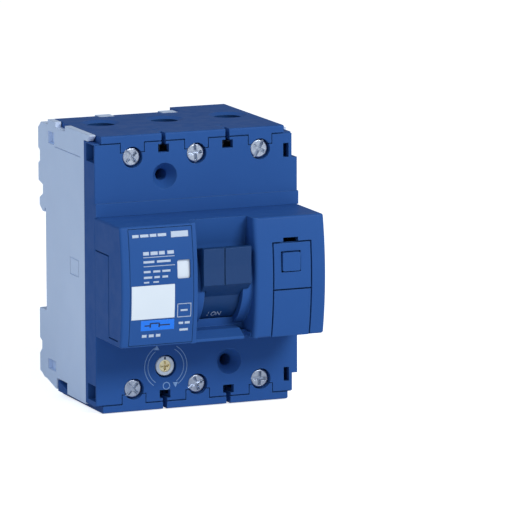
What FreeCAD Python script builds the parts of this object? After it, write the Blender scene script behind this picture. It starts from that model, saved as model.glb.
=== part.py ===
import FreeCAD
import Part
import math
import os
from FreeCAD import Vector

# Three-pole modular circuit breaker for a 35 mm rail, built as an assembly of its real pieces.
# Millimetres. +X is to the right seen from the front, the front faces -Y and +Z is up.
# The origin is the middle of the rail seat: the rail's front face lies on Y = 0, its centre line on Z = 0.

# Case
POLES = 3
POLE_PITCH = 25.5       # centre to centre of the poles
SIDE_MARGIN = 2.25      # from the outer poles' cells to the sides
HEIGHT = 104.0
FACE_DEPTH = 52.0       # rail seat to the terminal faces
CASE_SPLIT = 41.0       # rail seat to the joint between front housing and rear casing
REAR_PROUD = 8.0        # how far the rear pads stand behind the rail seat
WALL = 2.4
PARTITION = 1.6
GAP = 0.3               # between separate mouldings
FIT = 0.05              # radial running clearance
SEAM = 0.55             # visible joint lines
SEAM_DEPTH = 0.9

# Nose: the 45 mm high centre section of every modular device
NOSE_PROUD = 25.0       # terminal faces to the nose's front edges
NOSE_HEIGHT = 45.0
NOSE_OFFSET = -0.4      # nose centre above the rail centre
NOSE_BULGE = 2.3        # how far the front bows out
NOSE_WALL = 2.4
BAND_HEIGHT = 5.0       # plain band above the nose
BAND_PROUD = 1.0
FASCIA_STEP = 13.3      # how deep the fascia's side returns are
FASCIA_SHOULDER = 12.5  # height of the fascia's full-depth upper part
SOLE_HEIGHT = 2.1       # strip of the front housing under the fascia
NOSE_EDGE_R = 0.9
NOSE_SIDE_R = 1.0

# Rail and its lock
RAIL_HEIGHT = 35.0
RAIL_LIP = 1.0
RAIL_PLAY = 0.3
HOOK_OVERLAP = 1.6
CLIP_TRAVEL = 3.0
CLIP_HALF = 9.0
CLIP_FLANGE = 2.0
CLIP_Y = 2.8
CLIP_TAIL = 8.0         # below the lock's axis
SPINDLE_R = 2.3
KNOB_R = 3.7
ECCENTRIC_R = 1.2
KNOB_RECESS = 5.2       # terminal faces to the back of the knob's recess

# Terminals
TERMINAL_INSET = 8.4    # screw axes from the upper and lower edges
SCREW_HEAD_R = 3.6
SCREW_HEAD_HEIGHT = 3.0
SCREW_SHANK_R = 2.6
SCREW_SUNK = 1.2
RECESS_CLEAR = 0.35
CABLE_DEPTH = 19.5      # cable axis in front of the rail seat
CAGE_HALF_WIDTH = 7.0
CAGE_LENGTH = 20.0
CAGE_HEIGHT = 10.6
CAGE_WALL = 1.6
STRIP_THICK = 1.9
STRIP_HALF = 4.6
CABLE_DISH_R = 7.4
CABLE_DISH_DEPTH = 0.8
CABLE_THROAT_R = 5.1
CABLE_FLARE_R = 6.4
CORNER_UPPER = (-1.4, 5.2, -3.9)    # side pocket's two ends and the step's start, from the screw axis
CORNER_LOWER = (-2.1, 3.9, -1.4)
POCKET_LENGTH = 7.9
POCKET_DEPTH = 8.0

# Covers over the terminals
COVER_THICK = 2.7
COVER_SEAM = 0.45       # open joint along the front, below the cover
COVER_SEAM_DEPTH = 1.0
COVER_RIGHT_MARGIN = 5.0
LOW_COVER_RIGHT_MARGIN = 3.7
COVER_SHORT = 3.0       # rear edge in front of the rail seat, left of the step
COVER_LONG = 7.0        # rear edge behind the rail seat, right of the step
LOW_COVER_SHORT = 9.5   # rear edge of the lower cover in front of the rail seat
TONGUE_THICK = 1.4
TONGUE_HALF = 4.6
TONGUE_DROP = 2.0       # tongue's lower end above the screw axis
NOTCH_NEAR = 1.5        # notches in the cover's rear edge, from the partition
NOTCH_FAR = 8.0
NOTCH_DEPTH = 3.0
TEE_SHIFT = 0.35        # barrier slots stand left of the partition
TEE_FOOT_HALF = 2.15
TEE_FOOT_RISE = 1.2     # foot above the screw axis
TEE_FOOT_HEIGHT = 3.1
TEE_STEM_HALF = 1.0
TEE_TIP_HALF = 0.75
TEE_COVER_DEPTH = 4.5
TEE_HOUSING_DEPTH = 9.0

# Fixing holes and the rail lock lie between the poles
FIXING_INSET = 16.1     # from the upper and lower edges
FIXING_R = 2.2
FUNNEL_R = 4.9
FUNNEL_DEPTH = 4.2
COLUMN_R = 4.4
TUBE_WALL = 1.2
TUBE_REACH = 8.0        # fixing tubes of the front housing, behind the joint

# Lever
LEVER_X = 0.8
LEVER_Z = -1.9
LEVER_DEPTH = 18.7      # pivot behind the nose's front edges
DRUM_R = 16.0
DRUM_WALL = 2.2
DRUM_HALF = 7.2
CHEEK_R = 18.3
CHEEK_INNER = 7.6
PADDLE_HALF = 9.4
PADDLE_REACH = 22.1     # pivot to the paddle's front
PADDLE_TOP = 14.2       # above the pivot
PADDLE_BOTTOM = 0.7
PADDLE_UNDER = 4.9      # where its underside meets the drum, below the pivot
PADDLE_TIP = 1.4
PADDLE_DISH = 0.25
PADDLE_LINE = 1.1       # middle groove, left of the lever's centre
CHANNEL_HALF = 11.5
CHANNEL_TOP_DEPTH = 6.2
CHANNEL_DEPTH = 8.2
CHANNEL_LOW_DEPTH = 11.6
CHANNEL_WALL = 1.2
CHANNEL_EDGE_R = 1.5
SILL_END = 7.9          # right end of the channel's sill, from the lever's centre
SILL_FRONT = 1.2        # sill's height at the front and further in
SILL_BACK = 3.6
SILL_SLOPE = 5.0
LEVER_PIN_R = 1.5
CRANK = 5.0
LINK_PIN_R = 1.0
PLATE_INNER = 8.6       # lever centre to the steel side plates
PLATE_STEEL = 1.5

# Screws that hold the two halves of the case together
CASE_SCREW_R = 1.4
CASE_SCREW_HEAD_R = 2.6
CASE_BOSS_R = 2.7
CASE_SCREW_INSET = 4.9

# Contacts and trip parts
CARRIER_Y = -22.5
CARRIER_Z = -7.0
CARRIER_R = 5.0
CARRIER_CRANK = 8.0
ARM_LENGTH = 24.0
TRIP_BAR_Y = -38.0
TRIP_BAR_Z = -24.0
TRIP_BAR_R = 2.2
TRIP_JOURNAL_R = 1.6
CHUTE_PLATES = 8
COIL_TURNS = 7
COIL_R = 5.6
COIL_WIRE = 0.95
COIL_PITCH = 2.15
CORE_R = 4.2
SHELF_RISE = 4.0        # load strip's shelf above the lower cage
SHELF_THICK = 1.5

# Front details, measured from the middle of the nose
PLATE_LEFT = -37.2
PLATE_RIGHT = -12.4
PLATE_THICK = 0.8
TILE_THICK = 0.3
LABEL_RECT = (-36.7, -19.7, -12.3, 0.3)     # left, right, bottom and top
SYMBOL_RECT = (-32.9, -19.7, -16.7, -12.8)
COVER_LEFT = 19.8
COVER_EDGE = 34.4
LIP_START = 3.9         # lifting slot above the upper door, from its left edge
LIP_LENGTH = 6.0
LIP_HEIGHT = 2.0
DOOR_THICK = 1.6
DOOR_TOP = 12.3
DOOR_SPLIT = -5.0
BUTTON_X = 26.5
BUTTON_Z = 5.4
BUTTON_HALF = 3.5
BUTTON_SEAM = 0.4
BUTTON_PROUD = 0.6
BUTTON_STEM_R = 1.5
BUTTON_SHELF_Y = 18.0   # guide shelf behind the nose's front edges
WINDOW_X = -16.0
WINDOW_Z = 5.5
WINDOW_HALF_X = 2.6
SHUTTER_MARGIN = 0.5
WINDOW_HALF_Z = 3.5
SHUTTER_SLIDE = 7.2
SHUTTER_SUNK = 0.95     # below the nose's front face
SHUTTER_THICK = 1.0

# Worked out from the sizes above
WIDTH = POLES * POLE_PITCH + 2 * SIDE_MARGIN
SIDE = WIDTH / 2
TOP = HEIGHT / 2
INNER_SIDE = SIDE - WALL
POLE_X = [(index - (POLES - 1) / 2) * POLE_PITCH for index in range(POLES)]
PARTITION_X = [x + POLE_PITCH / 2 for x in POLE_X[:-1]]
LOCK_X = PARTITION_X[0]
FIXINGS = [(PARTITION_X[0], 1), (PARTITION_X[-1], -1)]
FACE_Y = -FACE_DEPTH
FACE_BACK = FACE_Y + WALL
SPLIT_Y = -CASE_SPLIT
NOSE_Y = FACE_Y - NOSE_PROUD
NOSE_TOP = NOSE_OFFSET + NOSE_HEIGHT / 2
NOSE_BOTTOM = NOSE_OFFSET - NOSE_HEIGHT / 2
SHOULDER_Z = NOSE_TOP - FASCIA_SHOULDER
COVER_Z = TOP - COVER_THICK
COVER_X0 = -INNER_SIDE + GAP
COVER_X1 = SIDE - COVER_RIGHT_MARGIN
LOW_COVER_X1 = SIDE - LOW_COVER_RIGHT_MARGIN
SCREW_Z = TOP - TERMINAL_INSET
FIXING_Z = TOP - FIXING_INSET
RECESS_R = SCREW_HEAD_R + RECESS_CLEAR
CUP_FLOOR = FACE_Y + SCREW_SUNK + SCREW_HEAD_HEIGHT + FIT
CUP_BACK = CUP_FLOOR + 1.6
KNOB_SEAT = FACE_Y + KNOB_RECESS
CAGE_Y0 = -CABLE_DEPTH - CAGE_LENGTH / 2 - 1.0
CAGE_Y1 = CAGE_Y0 + CAGE_LENGTH
STRIP_Y = CAGE_Y0 + CAGE_WALL + 1.4
RAIL_HALF = RAIL_HEIGHT / 2 + RAIL_PLAY
LEVER_Y = NOSE_Y + LEVER_DEPTH
REST_BACK = -WALL
CLIP_BOTTOM = -FIXING_Z - CLIP_TAIL
SHELF_Z = -SCREW_Z + CAGE_HEIGHT / 2 + SHELF_RISE
SHELF_TOP = SHELF_Z + SHELF_THICK
NOSE_RADIUS = (NOSE_HEIGHT ** 2 / 4 + NOSE_BULGE ** 2) / (2 * NOSE_BULGE)
MIRROR_PLANE = Vector(0, 0, 1)


def box(x0, x1, y0, y1, z0, z1):
    return Part.makeBox(x1 - x0, y1 - y0, z1 - z0, Vector(x0, y0, z0))


def rod_x(y, z, radius, x0, x1):
    return Part.makeCylinder(radius, x1 - x0, Vector(x0, y, z), Vector(1, 0, 0))


def rod_y(x, z, radius, y0, y1):
    return Part.makeCylinder(radius, y1 - y0, Vector(x, y0, z), Vector(0, 1, 0))


def rod_z(x, y, radius, z0, z1):
    return Part.makeCylinder(radius, z1 - z0, Vector(x, y, z0), Vector(0, 0, 1))


def cone_y(x, z, radius0, radius1, y0, y1):
    return Part.makeCone(radius0, radius1, y1 - y0, Vector(x, y0, z), Vector(0, 1, 0))


def prism(corners, direction):
    return Part.Face(Part.makePolygon(corners + corners[:1])).extrude(direction)


def prism_x(points, x0, x1):
    return prism([Vector(x0, y, z) for y, z in points], Vector(x1 - x0, 0, 0))


def prism_y(points, y0, y1):
    return prism([Vector(x, y0, z) for x, z in points], Vector(0, y1 - y0, 0))


def prism_z(points, z0, z1):
    return prism([Vector(x, y, z0) for x, y in points], Vector(0, 0, z1 - z0))


def fuse(first, *others):
    return first.multiFuse(list(others)).removeSplitter()


def cut(body, *tools):
    return body.cut(list(tools)).removeSplitter()


def flipped(shape):
    return shape.mirror(Vector(0, 0, 0), MIRROR_PLANE)


def on_side(shape, side):
    return shape if side > 0 else flipped(shape)


def rounded(shape, radius, picks):
    edges = [edge for edge in shape.Edges if picks(edge)]
    return shape.makeFillet(radius, edges)


def along(edge, axis):
    """True for a straight edge that runs along one axis."""
    if not isinstance(edge.Curve, Part.Line):
        return False
    return abs(abs(edge.Curve.Direction.dot(axis)) - 1) < 1e-6


def pozi_cross(x, y, z, size, depth):
    """Cross and slot recess, cut into a head that faces -Y."""
    slim = size * 0.45
    arms = [box(x - size, x + size, y, y + depth, z - slim / 2, z + slim / 2)]
    arms.append(box(x - slim / 2, x + slim / 2, y, y + depth, z - size, z + size))
    return arms[0].fuse(arms[1])


# ---------------------------------------------------------------- nose outline

def nose_block(inset, back, x0, x1, round_front=False):
    """The nose as a solid, its front bowed out, drawn in by an inset."""
    y = NOSE_Y + inset
    top = NOSE_TOP - inset
    bottom = NOSE_BOTTOM + inset
    corners = [Vector(x0, back, bottom), Vector(x0, y, bottom), Vector(x0, y, top), Vector(x0, back, top)]
    crown = Vector(x0, y - NOSE_BULGE, (top + bottom) / 2)
    edges = [Part.makeLine(corners[0], corners[1])]
    edges.append(Part.Arc(corners[1], crown, corners[2]).toShape())
    edges.append(Part.makeLine(corners[2], corners[3]))
    edges.append(Part.makeLine(corners[3], corners[0]))
    block = Part.Face(Part.Wire(edges)).extrude(Vector(x1 - x0, 0, 0))
    if not round_front:
        return block
    block = rounded(block, NOSE_SIDE_R, lambda edge: edge.BoundBox.XLength < 0.01
                    and edge.BoundBox.YMin < y - 1)
    return rounded(block, NOSE_EDGE_R, lambda edge: along(edge, Vector(1, 0, 0))
                   and edge.BoundBox.YMax < y + 0.1)


def nose_skin(thickness, x0, x1, z0, z1):
    """A curved plate that lies in the nose's front face."""
    skin = nose_block(0, NOSE_Y + 6, x0, x1).cut(nose_block(thickness, NOSE_Y + 7, x0 - 1, x1 + 1))
    return skin.common(box(x0, x1, NOSE_Y - 6, NOSE_Y + thickness, z0, z1))


def fascia_zone(shrink):
    """The part of the nose that the fascia fills, drawn in at its joints."""
    step = FACE_Y - FASCIA_STEP - shrink
    front = box(-SIDE - 1, SIDE + 1, NOSE_Y - 9, step, NOSE_BOTTOM + SOLE_HEIGHT + shrink, NOSE_TOP + 1)
    upper = box(-SIDE - 1, SIDE + 1, NOSE_Y - 9, FACE_Y, SHOULDER_Z + shrink, NOSE_TOP + 1)
    face = box(-SIDE - 1, SIDE + 1, NOSE_Y - 9, NOSE_Y + NOSE_WALL, NOSE_BOTTOM - 1, NOSE_TOP + 1)
    return front.multiFuse([upper, face])


def nose_shell():
    outer = nose_block(0, FACE_Y, -SIDE, SIDE, True)
    return outer.cut(nose_hollow(FACE_Y + 1))


def nose_hollow(back):
    return nose_block(NOSE_WALL, back, -SIDE + NOSE_WALL, SIDE - NOSE_WALL)


# ---------------------------------------------------------------- front housing

def tongue_slot(x, clearance):
    half = TONGUE_HALF + clearance
    bottom = SCREW_Z + TONGUE_DROP - clearance
    return box(x - half, x + half, FACE_Y - 1, FACE_Y + TONGUE_THICK + clearance, bottom, COVER_Z + 1)


def tee_slot(x, depth):
    """Slot for a phase barrier: a wide foot with a stem that narrows towards the edge."""
    middle = x - TEE_SHIFT
    foot_z = SCREW_Z + TEE_FOOT_RISE
    foot = box(middle - TEE_FOOT_HALF, middle + TEE_FOOT_HALF, FACE_Y - 2, FACE_Y + depth, foot_z,
               foot_z + TEE_FOOT_HEIGHT)
    stem = prism_y([(middle - TEE_STEM_HALF, foot_z), (middle + TEE_STEM_HALF, foot_z),
                    (middle + TEE_TIP_HALF, TOP + 1), (middle - TEE_TIP_HALF, TOP + 1)],
                   FACE_Y - 2, FACE_Y + depth)
    return foot.fuse(stem)


def screw_cup(x, side):
    return rod_y(x, side * SCREW_Z, RECESS_R + 1.2, FACE_Y, CUP_BACK)


def screw_bore(x, side):
    head = rod_y(x, side * SCREW_Z, RECESS_R, FACE_Y - 1, CUP_FLOOR)
    return head.fuse(rod_y(x, side * SCREW_Z, SCREW_SHANK_R + FIT, CUP_FLOOR - 1, CUP_BACK + 1))


def pocket_box(side, margin):
    """Blind pocket in the left side by the terminal, or with a margin the block that it is sunk in."""
    low, high, _ = CORNER_UPPER if side > 0 else CORNER_LOWER
    top = min(SCREW_Z + high + margin, COVER_Z - COVER_SEAM)
    front = FACE_Y + 0.7
    pocket = box(-SIDE + (0.6 if margin else -1), -SIDE + POCKET_DEPTH + margin, front,
                 front + POCKET_LENGTH + margin, SCREW_Z + low - margin, top)
    return on_side(pocket, side)


def corner_cuts(side):
    """Step and slot at the right corner."""
    start = (CORNER_UPPER if side > 0 else CORNER_LOWER)[2]
    step = box(SIDE - 2.3, SIDE + 1, FACE_Y - 2, SPLIT_Y + 1, SCREW_Z + start, TOP + 1)
    slot = box(SIDE - 5.7, SIDE - 3.5, FACE_Y - 1, FACE_BACK + 0.1, SCREW_Z - 3.7, SCREW_Z + 1.6)
    return [pocket_box(side, 0), on_side(step, side), on_side(slot, side)]


def front_plate():
    """Terminal faces with the band above the nose, hollow behind."""
    plate = box(-SIDE, SIDE, FACE_Y, SPLIT_Y, -COVER_Z, COVER_Z)
    plate = rounded(plate, 0.5, lambda edge: along(edge, Vector(0, 0, 1))
                    and edge.BoundBox.YMax < FACE_Y + 0.1)
    hollow = box(-INNER_SIDE, INNER_SIDE, FACE_BACK, SPLIT_Y + 1, -COVER_Z + WALL, COVER_Z - WALL)
    band = box(-SIDE, SIDE, FACE_Y - BAND_PROUD, FACE_BACK, NOSE_TOP, NOSE_TOP + BAND_HEIGHT)
    seam = box(-SIDE - 1, SIDE + 1, FACE_Y - 1, FACE_Y + COVER_SEAM_DEPTH, COVER_Z - COVER_SEAM, TOP)
    return cut(fuse(plate.cut(hollow), band), seam, flipped(seam))


def housing_bosses():
    """Screw cups, fixing tubes, lock seat, screw bosses and pocket blocks inside the front housing."""
    bosses = [screw_cup(x, side) for x in POLE_X for side in (1, -1)]
    for x, side in FIXINGS:
        bosses.append(rod_y(x, side * FIXING_Z, FUNNEL_R + TUBE_WALL, FACE_Y, FACE_Y + FUNNEL_DEPTH + 1))
        bosses.append(rod_y(x, side * FIXING_Z, COLUMN_R, FACE_BACK - 0.1, SPLIT_Y + TUBE_REACH))
    bosses.append(rod_y(LOCK_X, -FIXING_Z, KNOB_R + 1.8, FACE_Y, KNOB_SEAT))
    bosses += [rod_y(x, z, CASE_BOSS_R, FACE_BACK - 0.1, SPLIT_Y) for x, z in case_screw_spots()]
    return bosses + [pocket_box(side, TUBE_WALL) for side in (1, -1)]


def button_shelf(grow, depth):
    shelf_y = NOSE_Y + BUTTON_SHELF_Y
    return box(BUTTON_X - 5 - grow, SIDE - NOSE_WALL + 0.2, shelf_y, shelf_y + 2, BUTTON_Z - 5 - depth,
               SHOULDER_Z + depth)


def fixing_bores():
    bores = []
    for x, side in FIXINGS:
        bores.append(cone_y(x, side * FIXING_Z, FUNNEL_R, FIXING_R, FACE_Y, FACE_Y + FUNNEL_DEPTH))
        bores.append(rod_y(x, side * FIXING_Z, FIXING_R, FACE_Y, SPLIT_Y + TUBE_REACH + 1))
    return bores


def sill_gap():
    """Gap beside the sill, open through the sole of the nose."""
    return box(LEVER_X + SILL_END, LEVER_X + CHANNEL_HALF - 0.4, NOSE_Y - 3, NOSE_Y + CHANNEL_DEPTH,
               NOSE_BOTTOM - 1, NOSE_BOTTOM + NOSE_WALL + 0.1)


def front_housing():
    body = fuse(front_plate(), nose_shell().cut(fascia_zone(0)), button_shelf(0, 0), *housing_bosses())
    shelf_y = NOSE_Y + BUTTON_SHELF_Y
    cuts = [nose_hollow(SPLIT_Y).cut(button_shelf(1, 99)), sill_gap()]
    cuts += [screw_bore(x, side) for x in POLE_X for side in (1, -1)]
    cuts += [on_side(tongue_slot(x, GAP), side) for x in POLE_X for side in (1, -1)]
    cuts += [on_side(tee_slot(x, TEE_HOUSING_DEPTH), side) for x in PARTITION_X for side in (1, -1)]
    cuts += fixing_bores()
    cuts.append(rod_y(LOCK_X, -FIXING_Z, KNOB_R + 0.6, FACE_Y - 1, KNOB_SEAT - 1.2))
    cuts.append(rod_y(LOCK_X, -FIXING_Z, SPINDLE_R + FIT, FACE_Y, KNOB_SEAT + 1))
    cuts.append(rod_y(BUTTON_X, BUTTON_Z, BUTTON_STEM_R + FIT, shelf_y - 1, shelf_y + 3))
    cuts += [rod_y(x, z, CASE_SCREW_R, SPLIT_Y - 6, SPLIT_Y + 1) for x, z in case_screw_spots()]
    cuts += corner_cuts(1) + corner_cuts(-1)
    return cut(body, *cuts)


# ---------------------------------------------------------------- nose fascia

def channel_line(offset):
    """The lever channel's floor from top to bottom, as (y, z) points."""
    return [(NOSE_Y + CHANNEL_TOP_DEPTH + offset, NOSE_TOP + 1),
            (NOSE_Y + CHANNEL_DEPTH + offset, LEVER_Z + 14),
            (NOSE_Y + CHANNEL_LOW_DEPTH + offset, NOSE_BOTTOM - 1)]


def channel(offset, half):
    front = [(NOSE_Y - 9, NOSE_BOTTOM - 1), (NOSE_Y - 9, NOSE_TOP + 1)]
    return prism_x(front + channel_line(offset), LEVER_X - half, LEVER_X + half)


def channel_sill():
    """Sloping ledge at the foot of the lever channel, which stops short of its right wall."""
    front = NOSE_Y + 0.3
    back = NOSE_Y + CHANNEL_LOW_DEPTH
    sole = NOSE_BOTTOM + SOLE_HEIGHT
    points = [(front, NOSE_BOTTOM + 0.2), (front, NOSE_BOTTOM + SILL_FRONT),
              (NOSE_Y + SILL_SLOPE, NOSE_BOTTOM + SILL_BACK), (back, NOSE_BOTTOM + SILL_BACK), (back, sole),
              (NOSE_Y + NOSE_WALL, sole), (NOSE_Y + NOSE_WALL, NOSE_BOTTOM + 0.2)]
    return prism_x(points, LEVER_X - CHANNEL_HALF - 0.5, LEVER_X + SILL_END)


def lever_cheek(side):
    """Curved guard beside the drum, concentric with the lever."""
    x0, x1 = sorted((LEVER_X + side * CHEEK_INNER, LEVER_X + side * (CHANNEL_HALF + 0.5)))
    disc = rod_x(LEVER_Y, LEVER_Z, CHEEK_R, x0, x1)
    back = NOSE_Y + CHANNEL_LOW_DEPTH
    return disc.common(box(x0, x1, NOSE_Y - 9, back, NOSE_BOTTOM, LEVER_Z + PADDLE_TOP - 4))


def door_skin(z0, z1, clearance):
    return nose_skin(DOOR_THICK + clearance, COVER_LEFT - clearance, COVER_EDGE + clearance, z0 - clearance,
                     z1 + clearance)


def door_lip():
    """Slot above the upper door where a blade lifts it."""
    start = COVER_LEFT + LIP_START
    return box(start, start + LIP_LENGTH, NOSE_Y - 9, NOSE_Y + DOOR_THICK, DOOR_TOP, DOOR_TOP + LIP_HEIGHT)


def button_hole(clearance):
    half = BUTTON_HALF + clearance
    return box(BUTTON_X - half, BUTTON_X + half, NOSE_Y - 9, NOSE_Y + 9, BUTTON_Z - half, BUTTON_Z + half)


def side_seam():
    """Open joint between the fascia's side returns and the front housing."""
    skin = nose_block(0, FACE_Y, -SIDE, SIDE).cut(nose_block(SEAM_DEPTH, FACE_Y, -SIDE + SEAM_DEPTH,
                                                             SIDE - SEAM_DEPTH))
    reach = box(-SIDE, SIDE, NOSE_Y + 2, FACE_Y, NOSE_BOTTOM, NOSE_TOP - 4)
    return skin.cut(fascia_zone(SEAM)).common(reach)


def shutter_hole():
    half_x = WINDOW_HALF_X + SHUTTER_MARGIN + 0.25
    reach = WINDOW_HALF_Z + SHUTTER_SLIDE + 1
    return box(WINDOW_X - half_x, WINDOW_X + half_x, NOSE_Y - 9, NOSE_Y + 5, WINDOW_Z - reach,
               WINDOW_Z + reach)


def nose_fascia():
    walls = nose_shell().common(fascia_zone(0))
    tub = channel(CHANNEL_WALL, CHANNEL_HALF + 1.8).common(nose_block(0, FACE_Y, -SIDE, SIDE))
    body = fuse(walls, tub.common(fascia_zone(0))).cut(channel(0, CHANNEL_HALF))
    wall_x = LEVER_X + CHANNEL_HALF
    body = rounded(body, CHANNEL_EDGE_R, lambda edge: abs(edge.BoundBox.XMin - wall_x) < 0.01
                   and abs(edge.BoundBox.XMax - wall_x) < 0.01 and edge.BoundBox.YMin < NOSE_Y - 1)
    body = fuse(body, lever_cheek(-1), lever_cheek(1), channel_sill())
    cuts = [rod_x(LEVER_Y, LEVER_Z, DRUM_R + GAP, LEVER_X - CHEEK_INNER, LEVER_X + CHEEK_INNER)]
    cuts.append(side_seam())
    cuts.append(nose_skin(PLATE_THICK + 0.03, PLATE_LEFT - 0.2, PLATE_RIGHT + 0.2, NOSE_BOTTOM + 0.6,
                          NOSE_TOP - 0.8))
    cuts.append(door_skin(NOSE_BOTTOM - 1, DOOR_TOP, SEAM))
    cuts.append(door_lip())
    cuts.append(button_hole(BUTTON_SEAM))
    cuts.append(shutter_hole())
    return cut(body, *cuts)


def nameplate():
    plate = nose_skin(PLATE_THICK, PLATE_LEFT, PLATE_RIGHT, NOSE_BOTTOM + 0.8, NOSE_TOP - 1)
    window = box(WINDOW_X - WINDOW_HALF_X, WINDOW_X + WINDOW_HALF_X, NOSE_Y - 9, NOSE_Y + 9,
                 WINDOW_Z - WINDOW_HALF_Z, WINDOW_Z + WINDOW_HALF_Z)
    window = rounded(window, 0.8, lambda edge: along(edge, Vector(0, 1, 0)))
    return cut(plate, window, label_tile(0.02), symbol_tile(0.02))


def tile(rectangle, clearance):
    left, right, bottom, top = rectangle
    return nose_skin(TILE_THICK + clearance, left - clearance, right + clearance, bottom - clearance,
                     top + clearance)


def label_tile(clearance=0.0):
    return tile(LABEL_RECT, clearance)


def symbol_tile(clearance=0.0):
    return tile(SYMBOL_RECT, clearance)


def shutter_leaf(z0, z1):
    """Curved leaf that follows the nose's front, so that it can slide behind it."""
    half = WINDOW_HALF_X + SHUTTER_MARGIN
    centre_y = NOSE_Y - NOSE_BULGE + NOSE_RADIUS
    outer = NOSE_RADIUS - SHUTTER_SUNK
    shell = rod_x(centre_y, NOSE_OFFSET, outer, WINDOW_X - half, WINDOW_X + half)
    inner = outer - SHUTTER_THICK
    shell = shell.cut(rod_x(centre_y, NOSE_OFFSET, inner, WINDOW_X - half - 1, WINDOW_X + half + 1))
    return shell.common(box(WINDOW_X - half, WINDOW_X + half, NOSE_Y - 9, NOSE_Y + 9, z0, z1))


def indicator_shutter():
    """White leaf of the trip indicator, behind the window."""
    return shutter_leaf(WINDOW_Z - WINDOW_HALF_Z - 0.1, WINDOW_Z + WINDOW_HALF_Z + 0.1)


def indicator_fault_leaf():
    """Coloured leaf above the white one, which comes into the window when the breaker opens."""
    return shutter_leaf(WINDOW_Z + WINDOW_HALF_Z + 0.1, WINDOW_Z + WINDOW_HALF_Z + SHUTTER_SLIDE)


def upper_door():
    door = door_skin(DOOR_SPLIT + SEAM / 2, DOOR_TOP, 0)
    return cut(door, button_hole(BUTTON_SEAM))


def lower_door():
    return door_skin(NOSE_BOTTOM, DOOR_SPLIT - SEAM / 2, 0)


# ---------------------------------------------------------------- push-to-trip button

def button_face_y():
    return NOSE_Y - NOSE_BULGE - BUTTON_PROUD


def trip_button():
    half = BUTTON_HALF
    inner = NOSE_Y + NOSE_WALL + 0.1
    head = box(BUTTON_X - half, BUTTON_X + half, button_face_y(), inner, BUTTON_Z - half, BUTTON_Z + half)
    head = rounded(head, 0.6, lambda edge: along(edge, Vector(0, 1, 0)))
    flange = box(BUTTON_X - half - 1, BUTTON_X + half + 1, inner, inner + 1.2, BUTTON_Z - half - 1,
                 BUTTON_Z + half + 1)
    stem = rod_y(BUTTON_X, BUTTON_Z, BUTTON_STEM_R, inner, TRIP_BAR_Y - 1.2)
    return fuse(head, flange, stem)


def coil_spring(x, z, radius, wire, y0, y1, turns):
    """Helical spring along Y."""
    height = y1 - y0 - 2 * wire
    path = Part.makeHelix(height / turns, height, radius)
    circle = Part.Wire(Part.Circle(Vector(radius, 0, 0), Vector(0, 1, 0), wire).toShape())
    spring = Part.Wire(path).makePipeShell([circle], True, True)
    spring.rotate(Vector(0, 0, 0), Vector(1, 0, 0), -90)
    spring.translate(Vector(x, y0 + wire, z))
    return spring


def button_spring():
    y0 = NOSE_Y + NOSE_WALL + 1.4
    return coil_spring(BUTTON_X, BUTTON_Z, 2.5, 0.3, y0, NOSE_Y + BUTTON_SHELF_Y - 0.05, 7)


# ---------------------------------------------------------------- covers over the terminals

def upper_outline():
    """Outline seen from above: its rear edge steps back on the right and has two notches."""
    step_x = PARTITION_X[-1]
    deep = -COVER_SHORT - NOTCH_DEPTH
    outline = [(COVER_X0, FACE_Y), (COVER_X1, FACE_Y), (COVER_X1, COVER_LONG), (step_x, COVER_LONG),
               (step_x, -COVER_SHORT)]
    for x in reversed(PARTITION_X):
        outline += [(x - NOTCH_NEAR, -COVER_SHORT), (x - NOTCH_NEAR, deep), (x - NOTCH_FAR, deep),
                    (x - NOTCH_FAR, -COVER_SHORT)]
    return outline + [(COVER_X0, -COVER_SHORT)]


def lower_outline():
    return [(COVER_X0, FACE_Y), (LOW_COVER_X1, FACE_Y), (LOW_COVER_X1, -LOW_COVER_SHORT),
            (COVER_X0, -LOW_COVER_SHORT)]


def terminal_cover(outline, *lugs):
    """Flat plate with cable mouths, and a tongue down to every screw."""
    plate = prism_z(outline, COVER_Z, TOP)
    plate = rounded(plate, 1.2, lambda edge: along(edge, Vector(0, 0, 1)) and edge.BoundBox.XMin > 0
                    and edge.BoundBox.YMax < FACE_Y + 0.1)
    plate = rounded(plate, 0.6, lambda edge: along(edge, Vector(1, 0, 0)) and edge.BoundBox.ZMin > TOP - 0.1
                    and edge.BoundBox.YMax < FACE_Y + 0.1)
    tongues = [tongue_slot(x, 0).common(box(-SIDE, SIDE, FACE_Y, 0, 0, COVER_Z + 0.5)) for x in POLE_X]
    cover = fuse(plate, *tongues, *lugs)
    cuts = [tee_slot(x, TEE_COVER_DEPTH) for x in PARTITION_X]
    cuts += [box(x - 1.4, x + 1.4, FACE_Y + 9, FACE_Y + 10.2, COVER_Z - 1, TOP + 1) for x in PARTITION_X]
    for x in POLE_X:
        cuts.append(rod_y(x, SCREW_Z, RECESS_R, FACE_Y - 1, FACE_Y + 9))
        cuts.append(cable_mouth(x))
    return cut(cover, *cuts)


def cover_lug():
    """Lug of the lower cover that fills the notch in the casing's left side."""
    points = [(-21.2, TOP - 1.5), (-10.9, TOP - 1.5), (-10.9, TOP - 5.6), (-21.2, TOP - 3.3)]
    return prism_x(points, -SIDE + 0.3, COVER_X0 + 1)


def cable_mouth(x):
    """Shallow dish that leads into a throat, which widens again below the surface."""
    throat_z = TOP - CABLE_DISH_DEPTH
    dish = Part.makeCone(CABLE_THROAT_R, CABLE_DISH_R, CABLE_DISH_DEPTH, Vector(x, -CABLE_DEPTH, throat_z))
    low = Vector(x, -CABLE_DEPTH, COVER_Z)
    flare = Part.makeCone(CABLE_FLARE_R, CABLE_THROAT_R, throat_z - COVER_Z, low)
    above = rod_z(x, -CABLE_DEPTH, CABLE_DISH_R, TOP, TOP + 1)
    below = rod_z(x, -CABLE_DEPTH, CABLE_FLARE_R, COVER_Z - 1, COVER_Z)
    return dish.multiFuse([flare, above, below])


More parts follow.
